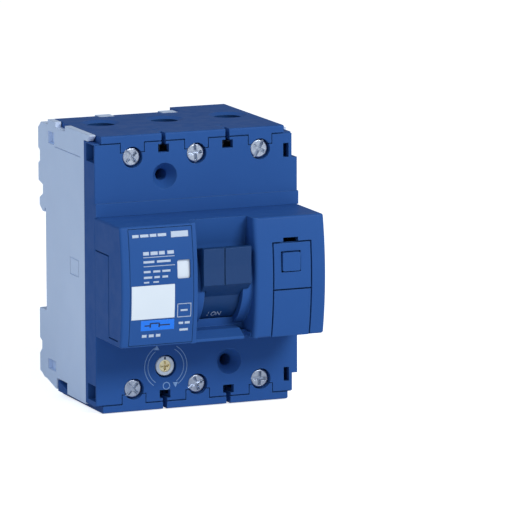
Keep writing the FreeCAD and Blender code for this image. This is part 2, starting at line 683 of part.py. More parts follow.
# ---------------------------------------------------------------- rear casing

def case_screw_spots():
    reach = SIDE - CASE_SCREW_INSET
    return [(x, z) for x in (-reach, reach) for z in (-RAIL_HALF - 8.5, RAIL_HALF + 8.5)]


def casing_outline():
    """Side view of the casing: rail recess, hooks, stepped pads and sloped lower corner."""
    pad = REAR_PROUD
    hook = RAIL_LIP + 0.4
    upper = RAIL_HALF
    lip = upper - HOOK_OVERLAP
    back_top = [(0, upper), (hook, upper), (hook, lip), (hook + 2.0, lip), (pad - 1, upper + 0.6),
                (pad - 1, upper + 3), (pad - 5, upper + 5), (pad - 5, upper + 8.6), (pad, upper + 9.8),
                (pad, upper + 16), (pad - 1.7, upper + 17), (pad - 1.7, upper + 21.5), (pad, upper + 22.5),
                (pad, TOP - 4.3), (pad - 3, TOP - 2), (-COVER_SHORT, TOP - 2), (-COVER_SHORT, TOP)]
    front_top = [(SPLIT_Y - 6, TOP), (SPLIT_Y - 6, TOP - 0.4), (SPLIT_Y - 4, COVER_Z + 0.2),
                 (SPLIT_Y, COVER_Z + 0.2)]
    lower = -RAIL_HALF - CLIP_TRAVEL - 0.5
    back_low = [(pad - 5, -TOP + 4.6), (pad - 2.5, -TOP + 5.8), (pad, -TOP + 6.4), (pad, lower - 18),
                (pad - 2.4, lower - 16), (pad - 2.4, lower - 12.5), (pad, lower - 11.5), (pad, lower - 1.2),
                (pad - 1, lower), (0, lower)]
    front_low = [(SPLIT_Y, -TOP + 2), (-9, -TOP + 2.2), (0, -TOP + 4.4)]
    return front_low + back_low + back_top + front_top


def clip_pocket():
    """T-shaped way for the rail clip, open to the rail and to the rear."""
    bottom = CLIP_BOTTOM - CLIP_TRAVEL - 0.4
    top = -RAIL_HALF
    wide = CLIP_HALF + CLIP_FLANGE + GAP
    slot = box(LOCK_X - wide, LOCK_X + wide, CLIP_Y - GAP, CLIP_Y + 2 + GAP, bottom, top)
    half = CLIP_HALF + GAP
    mouth = box(LOCK_X - half, LOCK_X + half, CLIP_Y - GAP, REAR_PROUD + 1, bottom, top)
    nose = box(LOCK_X - half, LOCK_X + half, RAIL_LIP, REAR_PROUD + 1,
               -RAIL_HALF - CLIP_TRAVEL - GAP - 1.4, top)
    return slot.multiFuse([mouth, nose])


def side_details():
    """Shallow recesses, groove and notch in the casing's left side, repeated on the right."""
    upper = box(-SIDE - 1, -SIDE + 1.8, -9.6, -3.2, TOP - 8.9, TOP - 4.3)
    lower = box(-SIDE - 1, -SIDE + 1.8, -9.6, -1.2, -TOP + 8.5, -TOP + 12.4)
    groove = box(-SIDE - 1, -SIDE + 0.3, SPLIT_Y + 4, -10, TOP - 9.6, TOP - 9.3)
    step = box(-SIDE - 1, -INNER_SIDE + 0.05, -21.3, -11, TOP - 2, TOP + 1)
    notch = box(-SIDE - 1, -INNER_SIDE + 0.05, -21.5, -10.6, -TOP, -TOP + 6.4)
    frame = box(-SIDE - 1, -SIDE + 0.25, -34.5, -25.5, -3.2, 3.4).cut(
        box(-SIDE - 1, -SIDE + 1, -34.1, -25.9, -2.8, 3.0))
    left = [upper, lower, groove, step, notch, frame]
    return left + [shape.mirror(Vector(0, 0, 0), Vector(1, 0, 0)) for shape in left]


def casing_shell():
    """Outer walls: hollow, open to the front and under both covers."""
    body = prism_x(casing_outline(), -SIDE, SIDE)
    body = rounded(body, 0.5, lambda edge: abs(edge.BoundBox.XMax - edge.BoundBox.XMin) < 1e-6
                   and edge.BoundBox.YMin > REAR_PROUD - 3.1 and abs(edge.BoundBox.ZLength) > 2)
    hollow = box(-INNER_SIDE, INNER_SIDE, SPLIT_Y - 8, REST_BACK, -TOP + 7, COVER_Z)
    well = box(-INNER_SIDE, INNER_SIDE, SPLIT_Y - 8, -LOW_COVER_SHORT, -TOP - 1, 0)
    reach = INNER_SIDE - 7
    deep_back = REAR_PROUD - 5 - WALL
    deep_top = box(-reach, reach, REST_BACK - 1, deep_back, RAIL_HALF + 6, COVER_Z - WALL)
    deep_low = box(LOCK_X + CLIP_HALF + 4, reach, REST_BACK - 1, deep_back, -TOP + 7, -RAIL_HALF - 7)
    lid = box(COVER_X0 - GAP, SIDE + 1, SPLIT_Y - 9, -COVER_SHORT + GAP, COVER_Z, TOP + 1)
    lid_step = box(PARTITION_X[-1] - GAP, SIDE + 1, -COVER_SHORT, COVER_LONG + GAP, COVER_Z, TOP + 1)
    base = box(COVER_X0 - GAP, LOW_COVER_X1 + GAP, SPLIT_Y - 9, -LOW_COVER_SHORT + GAP, -TOP - 1, -COVER_Z)
    return cut(body, hollow, well, deep_top, deep_low, lid, lid_step, base)


def cover_tabs():
    """Blocks that stand in the notches of the upper cover's rear edge."""
    front = -COVER_SHORT - NOTCH_DEPTH + GAP
    return [box(x - NOTCH_FAR + GAP, x - NOTCH_NEAR - GAP, front, 0, COVER_Z - 1.5, TOP)
            for x in PARTITION_X]


def cover_ledges():
    """Shelves that close the casing's right side where the covers stop short of it."""
    upper = box(COVER_X1 - 1, INNER_SIDE + 0.1, SPLIT_Y, REST_BACK + 0.2, COVER_Z - 1.4, COVER_Z)
    lower = box(LOW_COVER_X1 - 1, INNER_SIDE + 0.1, SPLIT_Y, REST_BACK + 0.2, -COVER_Z, -COVER_Z + 1.4)
    return [upper, lower]


def rear_casing():
    walls = [box(x - PARTITION / 2, x + PARTITION / 2, SPLIT_Y, REST_BACK + 0.2, -COVER_Z, COVER_Z)
             for x in PARTITION_X]
    tube_end = SPLIT_Y + TUBE_REACH
    columns = [rod_y(x, side * FIXING_Z, COLUMN_R, tube_end, REAR_PROUD - 1.7) for x, side in FIXINGS]
    columns.append(rod_y(LOCK_X, -FIXING_Z, COLUMN_R, KNOB_SEAT, REST_BACK + 0.2))
    bosses = [rod_y(x, z, CASE_BOSS_R, SPLIT_Y, REST_BACK + 0.2) for x, z in case_screw_spots()]
    body = fuse(casing_shell(), *walls, *columns, *bosses, *cover_tabs(), *cover_ledges())
    cuts = [rod_y(x, side * FIXING_Z, FIXING_R, SPLIT_Y - 1, REAR_PROUD + 1) for x, side in FIXINGS]
    cuts += [rod_y(x, side * FIXING_Z, COLUMN_R + GAP, SPLIT_Y - 1, tube_end) for x, side in FIXINGS]
    cuts.append(rod_y(LOCK_X, -FIXING_Z, SPINDLE_R + FIT, KNOB_SEAT - 1, CLIP_Y))
    cuts.append(rod_x(CARRIER_Y, CARRIER_Z, CARRIER_R + FIT, PARTITION_X[0] - 2, PARTITION_X[-1] + 2))
    cuts.append(rod_x(TRIP_BAR_Y, TRIP_BAR_Z, TRIP_JOURNAL_R + FIT, PARTITION_X[0] - 2, PARTITION_X[-1] + 2))
    for x, z in case_screw_spots():
        cuts.append(rod_y(x, z, CASE_SCREW_R, SPLIT_Y - 1, REAR_PROUD + 1))
        cuts.append(rod_y(x, z, CASE_SCREW_HEAD_R + GAP, REST_BACK + 2, REAR_PROUD + 1))
    cuts.append(clip_pocket())
    cuts += side_details()
    return cut(body, *cuts)


def case_screws():
    screws = []
    for x, z in case_screw_spots():
        shank = rod_y(x, z, CASE_SCREW_R - FIT, SPLIT_Y - 5.5, REST_BACK + 2)
        head = rod_y(x, z, CASE_SCREW_HEAD_R, REST_BACK + 2, REST_BACK + 4)
        screws.append(shank.fuse(head).removeSplitter())
    return Part.makeCompound(screws)


# ---------------------------------------------------------------- rail clip and its lock

def rail_clip():
    """Sliding hook that holds the rail's lower lip, with a window for the eccentric."""
    top = -RAIL_HALF - 0.6
    wide = CLIP_HALF + CLIP_FLANGE
    flange = box(LOCK_X - wide, LOCK_X + wide, CLIP_Y, CLIP_Y + 2, CLIP_BOTTOM, top - CLIP_TRAVEL)
    bar = box(LOCK_X - CLIP_HALF, LOCK_X + CLIP_HALF, CLIP_Y, REAR_PROUD - 0.4, CLIP_BOTTOM, top)
    reach = RAIL_LIP + 0.4
    beak = prism_x([(reach, top - 0.8), (REAR_PROUD - 0.4, top - 0.8), (REAR_PROUD - 0.4, top),
                    (reach + 2, -RAIL_HALF + HOOK_OVERLAP), (reach, -RAIL_HALF + HOOK_OVERLAP)],
                   LOCK_X - CLIP_HALF, LOCK_X + CLIP_HALF)
    pin_z = -FIXING_Z + CLIP_TRAVEL / 2
    window_x = CLIP_TRAVEL / 2 + ECCENTRIC_R + 0.4
    window_z = ECCENTRIC_R + 0.45
    window = box(LOCK_X - window_x, LOCK_X + window_x, CLIP_Y - 1, CLIP_Y + 3, pin_z - window_z,
                 pin_z + window_z)
    return cut(fuse(flange, bar, beak), window)


def lock_knob():
    disc = rod_y(LOCK_X, -FIXING_Z, KNOB_R, FACE_Y + 0.8, KNOB_SEAT - 1.3)
    disc = rounded(disc, 0.4, lambda edge: edge.BoundBox.YMax < FACE_Y + 0.9)
    return cut(disc, rod_y(LOCK_X, -FIXING_Z, SPINDLE_R + 0.02, FACE_Y - 1, KNOB_SEAT))


def lock_spindle():
    front = FACE_Y + 1.0
    shaft = rod_y(LOCK_X, -FIXING_Z, SPINDLE_R, front, CLIP_Y - GAP)
    pin = rod_y(LOCK_X, -FIXING_Z + CLIP_TRAVEL / 2, ECCENTRIC_R, CLIP_Y - GAP, CLIP_Y + 2.2)
    return cut(fuse(shaft, pin), pozi_cross(LOCK_X, front - 0.01, -FIXING_Z, SPINDLE_R * 0.75, 1.2))


# ---------------------------------------------------------------- terminals

def terminal_screw(x, angle):
    """Cheese-head screw with a cross and slot, captive between the housing and the strip."""
    head_y = FACE_Y + SCREW_SUNK
    head = rod_y(x, SCREW_Z, SCREW_HEAD_R, head_y, head_y + SCREW_HEAD_HEIGHT)
    head = rounded(head, 0.8, lambda edge: edge.BoundBox.YMax < head_y + 0.1)
    shank = rod_y(x, SCREW_Z, SCREW_SHANK_R, head_y + 1, STRIP_Y - FIT)
    slot = box(x - SCREW_HEAD_R, x + SCREW_HEAD_R, head_y - 1, head_y + 0.9, SCREW_Z - 0.4, SCREW_Z + 0.4)
    slot.rotate(Vector(x, 0, SCREW_Z), Vector(0, 1, 0), angle)
    cross = pozi_cross(x, head_y - 0.01, SCREW_Z, SCREW_HEAD_R * 0.72, 1.7)
    cross.rotate(Vector(x, 0, SCREW_Z), Vector(0, 1, 0), angle)
    return cut(fuse(head, shank), slot, cross)


def terminal_cage(x):
    """Clamping cage that the screw draws towards the front."""
    z0 = SCREW_Z - CAGE_HEIGHT / 2
    z1 = SCREW_Z + CAGE_HEIGHT / 2
    outer = box(x - CAGE_HALF_WIDTH, x + CAGE_HALF_WIDTH, CAGE_Y0, CAGE_Y1, z0, z1)
    outer = rounded(outer, 1.0, lambda edge: along(edge, Vector(0, 0, 1)))
    inner = box(x - CAGE_HALF_WIDTH + CAGE_WALL, x + CAGE_HALF_WIDTH - CAGE_WALL, CAGE_Y0 + CAGE_WALL,
                CAGE_Y1 - CAGE_WALL, z0 - 1, z1 + 1)
    thread = rod_y(x, SCREW_Z, SCREW_SHANK_R + FIT, CAGE_Y0 - 1, CAGE_Y0 + CAGE_WALL + 1)
    return cut(outer, inner, thread)


def line_strip(x):
    """Upper terminal strip: runs down from the cage to the fixed contact's silver tip."""
    strip = box(x - STRIP_HALF, x + STRIP_HALF, STRIP_Y, STRIP_Y + STRIP_THICK, contact_z() - 4, COVER_Z - 1)
    tip = box(x - 2.5, x + 2.5, STRIP_Y + STRIP_THICK, STRIP_Y + STRIP_THICK + 1.2, contact_z() - 2.5,
              contact_z() + 2.5)
    return fuse(strip, tip)


def load_strip(x):
    """Lower terminal strip: runs up from the cage and back under the coil."""
    riser = box(x - STRIP_HALF, x + STRIP_HALF, STRIP_Y, STRIP_Y + STRIP_THICK, -COVER_Z + 1, SHELF_Z)
    ledge = box(x - STRIP_HALF, x + STRIP_HALF, STRIP_Y - 6, CARRIER_Y + 8, SHELF_Z, SHELF_TOP)
    return fuse(riser, ledge)


# ---------------------------------------------------------------- contacts, arc chutes and trip parts

def contact_z():
    return CARRIER_Z + ARM_LENGTH - 2.5


def contact_face_y():
    return STRIP_Y + STRIP_THICK + 1.2 + 0.1


def moving_contact(x):
    """Copper arm that rides in the carrier and meets the fixed tip."""
    front = contact_face_y() + 1.0
    arm = prism_x([(front, CARRIER_Z + CARRIER_R - 1), (front + 3, CARRIER_Z + CARRIER_R - 1),
                   (front + 3, CARRIER_Z + ARM_LENGTH), (front, CARRIER_Z + ARM_LENGTH)], x - 2.4, x + 2.4)
    tip = box(x - 2.2, x + 2.2, front - 1.0, front, contact_z() - 2, contact_z() + 2)
    return fuse(arm, tip)


def contact_carrier():
    """Insulating shaft that turns all the moving contacts together, with the ears that the link drives."""
    shaft = rod_x(CARRIER_Y, CARRIER_Z, CARRIER_R, POLE_X[0] - 7, POLE_X[-1] + 7)
    seats = [box(x - 3.6, x + 3.6, CARRIER_Y - 3.4, CARRIER_Y + 5, CARRIER_Z, CARRIER_Z + CARRIER_R + 3.5)
             for x in POLE_X]
    ears = []
    for side in (-1, 1):
        x0, x1 = sorted((LEVER_X + side * 1.3, LEVER_X + side * 3.3))
        ears.append(box(x0, x1, CARRIER_Y - CARRIER_CRANK - 4.2, CARRIER_Y, CARRIER_Z - 3, CARRIER_Z + 3))
    slot = box(LEVER_X - 4, LEVER_X + 4, CARRIER_Y - CARRIER_CRANK - 3.4, CARRIER_Y - CARRIER_CRANK + 1.5,
               CARRIER_Z - 1.5, CARRIER_Z + 1.5)
    link_way = box(LEVER_X - 1.3, LEVER_X + 1.3, CARRIER_Y - CARRIER_CRANK - 5, CARRIER_Y - CARRIER_R + 0.5,
                   CARRIER_Z - 5, CARRIER_Z + 5)
    return cut(fuse(shaft, *seats, *ears), slot, link_way, *[moving_contact(x) for x in POLE_X])


def arc_chute(x):
    """Stack of steel splitter plates between two insulating cheeks."""
    z0 = contact_z() + 5.0
    z1 = z0 + 14.0
    y0 = STRIP_Y + STRIP_THICK + 1.6
    pitch = (-WALL - 1.0 - y0) / CHUTE_PLATES
    plates = [box(x - 6.2, x + 6.2, y0 + k * pitch, y0 + k * pitch + 1.0, z0, z1)
              for k in range(CHUTE_PLATES)]
    y1 = y0 + (CHUTE_PLATES - 1) * pitch + 1
    cheeks = [box(x + side * 6.6 - 0.4, x + side * 6.6 + 0.4, y0, y1, z0, z1) for side in (-1, 1)]
    return fuse(plates[0], *plates[1:], *cheeks)


def coil_top():
    return SHELF_TOP + COIL_WIRE + 0.65 + (COIL_TURNS - 1) * COIL_PITCH


def magnetic_coil(x):
    """Trip coil of thick copper wire, standing on the load strip."""
    centres = [Vector(x, CARRIER_Y, coil_top() - k * COIL_PITCH) for k in range(COIL_TURNS)]
    turns = [Part.makeTorus(COIL_R, COIL_WIRE, centre, Vector(0, 0, 1)) for centre in centres]
    riser = box(x - 1.1, x + 1.1, CARRIER_Y + COIL_R - 0.6, CARRIER_Y + COIL_R + 1, SHELF_TOP, coil_top())
    return fuse(riser, *turns)


def magnet_core(x):
    return rod_z(x, CARRIER_Y, CORE_R, SHELF_TOP, coil_top())


def bimetal_strip(x):
    """Thermal trip strip, which bends towards the trip bar as it heats."""
    foot = box(x - 3, x + 3, STRIP_Y - 5.8, STRIP_Y - 1.5, SHELF_TOP, SHELF_TOP + 1.2)
    blade = box(x - 3, x + 3, STRIP_Y - 5.8, STRIP_Y - 4.9, SHELF_TOP, TRIP_BAR_Z + 9)
    return fuse(foot, blade)


def trip_bar():
    """Bar across all the poles: a finger at each bimetal strip, a long one for the button."""
    bar = rod_x(TRIP_BAR_Y, TRIP_BAR_Z, TRIP_JOURNAL_R, POLE_X[0] - 6, POLE_X[-1] + 6)
    thick = [rod_x(TRIP_BAR_Y, TRIP_BAR_Z, TRIP_BAR_R, x - 6, x + 6) for x in POLE_X]
    fingers = [box(x - 2, x + 2, TRIP_BAR_Y - 1, TRIP_BAR_Y + 1, TRIP_BAR_Z, TRIP_BAR_Z + 7) for x in POLE_X]
    arm = box(BUTTON_X - 1.6, BUTTON_X + 1.6, TRIP_BAR_Y - 1, TRIP_BAR_Y + 1, TRIP_BAR_Z, BUTTON_Z + 2)
    return fuse(bar, arm, *thick, *fingers)


# ---------------------------------------------------------------- lever mechanism

def paddle_shape():
    """Dished front that leans out over the drum; thin at the top, sloped back underneath."""
    middle = (PADDLE_TOP + PADDLE_BOTTOM) / 2
    root = math.radians(50)
    profile = [(PADDLE_REACH, PADDLE_TOP), (PADDLE_REACH - PADDLE_DISH, middle),
               (PADDLE_REACH, PADDLE_BOTTOM), (DRUM_R - 1.0, -PADDLE_UNDER),
               (DRUM_R - DRUM_WALL, -PADDLE_UNDER),
               ((DRUM_R - 0.5) * math.cos(root), (DRUM_R - 0.5) * math.sin(root)),
               (PADDLE_REACH - PADDLE_TIP, PADDLE_TOP + 0.3)]
    points = [(LEVER_Y - reach, LEVER_Z + height) for reach, height in profile]
    paddle = prism_x(points, LEVER_X - PADDLE_HALF, LEVER_X + PADDLE_HALF)
    front = LEVER_Y - PADDLE_REACH
    line_x = LEVER_X - PADDLE_LINE
    groove = box(line_x - 0.25, line_x + 0.25, front - 1, front + PADDLE_DISH + 0.4, LEVER_Z - 5,
                 LEVER_Z + 20)
    cheek_ways = []
    for side in (-1, 1):
        a, b = sorted((LEVER_X + side * DRUM_HALF, LEVER_X + side * (PADDLE_HALF + 1)))
        cheek_ways.append(rod_x(LEVER_Y, LEVER_Z, CHEEK_R + 0.5, a, b))
    return cut(paddle, groove, *cheek_ways)


def toggle_lever():
    """Paddle on a hollow drum, with a slotted hub for the drive link."""
    x0, x1 = LEVER_X - DRUM_HALF, LEVER_X + DRUM_HALF
    hollow = rod_x(LEVER_Y, LEVER_Z, DRUM_R - DRUM_WALL, x0 + 2, x1 - 2)
    behind = box(x0 - 1, x1 + 1, LEVER_Y + 3, LEVER_Y + DRUM_R + 1, LEVER_Z - 30, LEVER_Z + 30)
    rim = cut(rod_x(LEVER_Y, LEVER_Z, DRUM_R, x0, x1), hollow, behind)
    hub = rod_x(LEVER_Y, LEVER_Z, CRANK + LINK_PIN_R + 1.6, x0, x1)
    slot = box(LEVER_X - 1.1, LEVER_X + 1.1, LEVER_Y + 1.8, LEVER_Y + 20, LEVER_Z - 9, LEVER_Z + 9)
    pin_way = rod_x(LEVER_Y + CRANK, LEVER_Z, LINK_PIN_R + FIT, LEVER_X - 3.3, LEVER_X + 3.3)
    axle = rod_x(LEVER_Y, LEVER_Z, LEVER_PIN_R + FIT, x0 - 1, x1 + 1)
    return cut(fuse(rim, hub, paddle_shape()), slot, pin_way, axle)


def lever_pin():
    reach = PLATE_INNER + PLATE_STEEL
    return rod_x(LEVER_Y, LEVER_Z, LEVER_PIN_R, LEVER_X - reach, LEVER_X + reach)


def mechanism_frame():
    """Two steel side plates on a back plate, which hold the lever's pin."""
    plates = []
    for side in (-1, 1):
        a, b = sorted((LEVER_X + side * PLATE_INNER, LEVER_X + side * (PLATE_INNER + PLATE_STEEL)))
        plates.append(prism_x([(LEVER_Y - 4, LEVER_Z - 4), (LEVER_Y - 4, LEVER_Z + 5), (-30, 6),
                               (REST_BACK, 6), (REST_BACK, -14), (-30, -14)], a, b))
    back = box(LEVER_X - PLATE_INNER, LEVER_X + PLATE_INNER, REST_BACK - PLATE_STEEL, REST_BACK, -14, 6)
    pin = rod_x(LEVER_Y, LEVER_Z, LEVER_PIN_R, LEVER_X - 12, LEVER_X + 12)
    shaft = rod_x(CARRIER_Y, CARRIER_Z, CARRIER_R + GAP, LEVER_X - 12, LEVER_X + 12)
    return cut(fuse(plates[0], plates[1], back), pin, shaft)


def drive_link():
    """Steel link from the lever's hub to the carrier's ears, with a pin at each end."""
    ay, az = LEVER_Y + CRANK, LEVER_Z
    by, bz = CARRIER_Y - CARRIER_CRANK, CARRIER_Z
    length = math.hypot(by - ay, bz - az)
    ny, nz = -(bz - az) / length * 1.6, (by - ay) / length * 1.6
    bar = prism_x([(ay + ny, az + nz), (by + ny, bz + nz), (by - ny, bz - nz), (ay - ny, az - nz)],
                  LEVER_X - 0.8, LEVER_X + 0.8)
    eyes = [rod_x(y, z, 1.8, LEVER_X - 0.8, LEVER_X + 0.8) for y, z in ((ay, az), (by, bz))]
    pins = [rod_x(y, z, LINK_PIN_R, LEVER_X - 3.2, LEVER_X + 3.2) for y, z in ((ay, az), (by, bz))]
    return fuse(bar, *eyes, *pins)


# ---------------------------------------------------------------- the nodes

def assembly():
    nodes = {
        "front_housing": front_housing(),
        "rear_casing": rear_casing(),
        "nose_fascia": nose_fascia(),
        "upper_terminal_cover": terminal_cover(upper_outline()),
        "lower_terminal_cover": flipped(terminal_cover(lower_outline(), cover_lug())),
        "nameplate": nameplate(),
        "circuit_label": label_tile(),
        "symbol_tile": symbol_tile(),
        "indicator_shutter": indicator_shutter(),
        "indicator_fault_leaf": indicator_fault_leaf(),
        "accessory_door_upper": upper_door(),
        "accessory_door_lower": lower_door(),
        "push_to_trip_button": trip_button(),
        "button_spring": button_spring(),
        "toggle_lever": toggle_lever(),
        "lever_pin": lever_pin(),
        "mechanism_frame": mechanism_frame(),
        "drive_link": drive_link(),
        "contact_carrier": contact_carrier(),
        "trip_bar": trip_bar(),
        "rail_clip": rail_clip(),
        "rail_lock_knob": lock_knob(),
        "rail_lock_spindle": lock_spindle(),
        "case_screws": case_screws(),
    }
    for number, x in enumerate(POLE_X, 1):
        nodes[f"terminal_screw_upper_{number}"] = terminal_screw(x, 15 + 35 * number)
        nodes[f"terminal_screw_lower_{number}"] = flipped(terminal_screw(x, 70 - 25 * number))
        nodes[f"terminal_cage_upper_{number}"] = terminal_cage(x)
        nodes[f"terminal_cage_lower_{number}"] = flipped(terminal_cage(x))
        nodes[f"line_strip_{number}"] = line_strip(x)
        nodes[f"load_strip_{number}"] = load_strip(x)
        nodes[f"moving_contact_{number}"] = moving_contact(x)
        nodes[f"arc_chute_{number}"] = arc_chute(x)
        nodes[f"magnetic_coil_{number}"] = magnetic_coil(x)
        nodes[f"magnet_core_{number}"] = magnet_core(x)
        nodes[f"bimetal_strip_{number}"] = bimetal_strip(x)
    return nodes


def main():
    os.makedirs("parts", exist_ok=True)
    for name, shape in assembly().items():
        bounds = shape.BoundBox
        print(f"{name:28s} solids {len(shape.Solids)} valid {shape.isValid()} volume {shape.Volume:9.1f}",
              f"X {bounds.XMin:.1f}..{bounds.XMax:.1f} Y {bounds.YMin:.1f}..{bounds.YMax:.1f}",
              f"Z {bounds.ZMin:.1f}..{bounds.ZMax:.1f}")
        shape.exportStep(f"parts/{name}.step")


main()
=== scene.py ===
# %% [markdown]
# A three-pole modular circuit breaker. Its measured parts come in as a fixed frame, already in
# place and in metres, so this file only has to give them light, finish and small surface detail.
# The front faces -Y, +Z is up, and the origin is the middle of the rail seat on the back.

# %% Load the frame
import math

import bpy
from mathutils import Matrix, Vector


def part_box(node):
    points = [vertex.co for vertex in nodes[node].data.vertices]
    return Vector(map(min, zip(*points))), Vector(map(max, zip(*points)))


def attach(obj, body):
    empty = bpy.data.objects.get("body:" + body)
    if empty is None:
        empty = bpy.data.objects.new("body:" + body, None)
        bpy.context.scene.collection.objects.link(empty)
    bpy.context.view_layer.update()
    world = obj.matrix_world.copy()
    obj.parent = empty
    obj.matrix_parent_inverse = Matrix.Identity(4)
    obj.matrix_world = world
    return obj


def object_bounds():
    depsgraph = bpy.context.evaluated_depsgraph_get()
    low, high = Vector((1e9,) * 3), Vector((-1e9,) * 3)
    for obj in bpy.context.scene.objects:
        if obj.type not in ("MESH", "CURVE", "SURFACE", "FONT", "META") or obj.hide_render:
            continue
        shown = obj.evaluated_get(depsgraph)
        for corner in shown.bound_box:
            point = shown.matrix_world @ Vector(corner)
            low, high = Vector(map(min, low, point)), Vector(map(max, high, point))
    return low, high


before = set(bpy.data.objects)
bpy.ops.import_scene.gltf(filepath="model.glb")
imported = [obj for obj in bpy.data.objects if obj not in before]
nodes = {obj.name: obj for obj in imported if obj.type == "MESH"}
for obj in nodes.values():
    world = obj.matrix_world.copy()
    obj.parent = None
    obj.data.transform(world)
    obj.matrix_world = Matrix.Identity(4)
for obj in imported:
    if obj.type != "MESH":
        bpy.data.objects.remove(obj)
cad_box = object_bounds()
print("frame:", len(nodes), "nodes, box", [tuple(round(v, 4) for v in corner) for corner in cad_box])

# %% [markdown]
# Sizes are easiest to read in millimetres, as a fitter would give them, while Blender works in
# metres. One small constant turns one into the other, and one helper clears the selection, because
# an edit operator acts on everything that is selected.

# %% Units and a clean selection
MM = 0.001
scene = bpy.context.scene


def nothing_selected():
    bpy.ops.object.select_all(action="DESELECT")


nothing_selected()
face_low, face_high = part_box("front_housing")
base_low, base_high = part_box("rear_casing")
width = round((face_high.x - face_low.x) / MM, 1)
height = round((base_high.z - base_low.z) / MM, 1)
print("width", width, "mm, height", height, "mm")

# %% [markdown]
# The camera is a long lens held far away, slightly to the left and above, which is how a catalogue
# shows switchgear: upright edges stay upright and the three faces read clearly.
# Its rotation is a tilt, then a turn about the vertical, with a hair of roll.

# %% Camera
CAMERA_PLACE = (-0.8081, -2.0696, 0.3847)
CAMERA_TURN = math.radians(-22.42)
CAMERA_DOWN = math.radians(9.929)
CAMERA_ROLL = math.radians(-0.174)
CAMERA_LENS = 414.73
SENSOR_WIDTH = 36
CLIP_START = 0.1

bpy.ops.object.camera_add(location=CAMERA_PLACE)
camera = bpy.context.object
camera.name = "catalogue_camera"
camera.data.lens = CAMERA_LENS
camera.data.sensor_width = SENSOR_WIDTH
camera.data.clip_start = CLIP_START
turned = (Matrix.Rotation(CAMERA_TURN, 4, "Z") @ Matrix.Rotation(math.pi / 2 - CAMERA_DOWN, 4, "X")
          @ Matrix.Rotation(CAMERA_ROLL, 4, "Z"))
camera.rotation_euler = turned.to_euler()
scene.camera = camera
print("camera turned", [round(math.degrees(a), 2) for a in camera.rotation_euler])

# %% [markdown]
# The breaker is shown on a plain white ground. Straight to the camera the world is pure white, but
# as a light it is much dimmer, because navy plastic in a fully white room would mirror the room and
# turn pale. The floor is treated the same way, bright to look at and quiet as a lamp, so that no
# horizon shows and the underside of the breaker stays dark.

# %% Floor and world
FLOOR_SIZE = 6
FLOOR_GAP = 0.4 * MM
FLOOR_QUIET, FLOOR_SEEN = 0.05, 0.75
WORLD_QUIET, WORLD_SEEN = 0.24, 1.15

bpy.ops.mesh.primitive_plane_add(size=FLOOR_SIZE, location=(0, 0, cad_box[0][2] - FLOOR_GAP))
floor = bpy.context.object
floor.name = "pale_floor"
floor_paint = bpy.data.materials.new("pale_floor")
floor_paint.use_nodes = True
floor_shader = floor_paint.node_tree.nodes["Principled BSDF"]
floor_shader.inputs["Base Color"].default_value = (0.90, 0.92, 0.95, 1)
floor_shader.inputs["Roughness"].default_value = 0.9
floor_shader.inputs["Specular IOR Level"].default_value = 0.1
floor_shader.inputs["Emission Color"].default_value = (0.97, 0.98, 1, 1)
looked_at = floor_paint.node_tree.nodes.new("ShaderNodeLightPath").outputs["Is Camera Ray"]
glow = floor_paint.node_tree.nodes.new("ShaderNodeMapRange")
glow.inputs["To Min"].default_value = FLOOR_QUIET
glow.inputs["To Max"].default_value = FLOOR_SEEN
floor_paint.node_tree.links.new(looked_at, glow.inputs["Value"])
floor_paint.node_tree.links.new(glow.outputs["Result"], floor_shader.inputs["Emission Strength"])
floor.data.materials.append(floor_paint)

world = bpy.data.worlds.new("white_studio")
world.use_nodes = True
sky = world.node_tree
backdrop = sky.nodes["Background"]
backdrop.inputs["Color"].default_value = (0.90, 0.95, 1.0, 1)
straight = sky.nodes.new("ShaderNodeLightPath").outputs["Is Camera Ray"]
brightness = sky.nodes.new("ShaderNodeMapRange")
brightness.inputs["To Min"].default_value = WORLD_QUIET
brightness.inputs["To Max"].default_value = WORLD_SEEN
sky.links.new(straight, brightness.inputs["Value"])
sky.links.new(brightness.outputs["Result"], backdrop.inputs["Strength"])
scene.world = world
scene.view_settings.view_transform = "Standard"
print("floor at z", round(floor.location.z / MM, 2), "mm")

# %% [markdown]
# Dark plastic shows its shape by how large soft lamps fall on each face. The key light is a softbox
# high on the right in front, so the funnels and the nose's left edges fall into shade. A weak one
# fills from the left, and a cool strip further round draws the pale casing.

# %% Soft lamps


def softbox(name, place, aim, size, watts, colour):
    bpy.ops.object.light_add(type="AREA", location=place)
    lamp = bpy.context.object
    lamp.name = name
    lamp.data.shape = "RECTANGLE"
    lamp.data.size = size[0]
    lamp.data.size_y = size[1]
    lamp.data.energy = watts
    lamp.data.color = colour
    lamp.rotation_euler = (Vector(aim) - Vector(place)).to_track_quat("-Z", "Y").to_euler()
    return lamp


middle = (0, -0.04, 0)
softbox("key_softbox", (0.45, -1.15, 0.75), middle, (0.6, 0.4), 11.6, (0.97, 0.98, 1))
softbox("fill_softbox", (-0.5, -1.2, 0.35), middle, (0.5, 0.5), 1.4, (0.93, 0.97, 1))
softbox("side_strip", (-1.15, 0.15, 0.95), middle, (0.5, 0.5), 4.6, (0.60, 0.77, 1))

# %% [markdown]
# Injection-moulded cases come out of a spark-eroded tool, so they carry a fine even grain, a
# slightly cloudy colour and edges that are never quite sharp. All three belong to every plastic
# here, so they become one shader group with its own dials. The soft edge is a bevelled normal,
# which rounds a corner in the light without touching the measured shape. Where that normal bends
# away from the true one, the colour is also mixed towards a lighter edge colour: a painted
# highlight along every edge.

# %% Shader group: moulded plastic
CLOUD_SCALE = 45
PORE_SCALE = 2600
RIPPLE_SCALE = 210
CLOUD_TINT = (0.72, 0.76, 0.82, 1)
EDGE_RADIUS = 0.35 * MM
PORE_DEPTH = 0.05 * MM


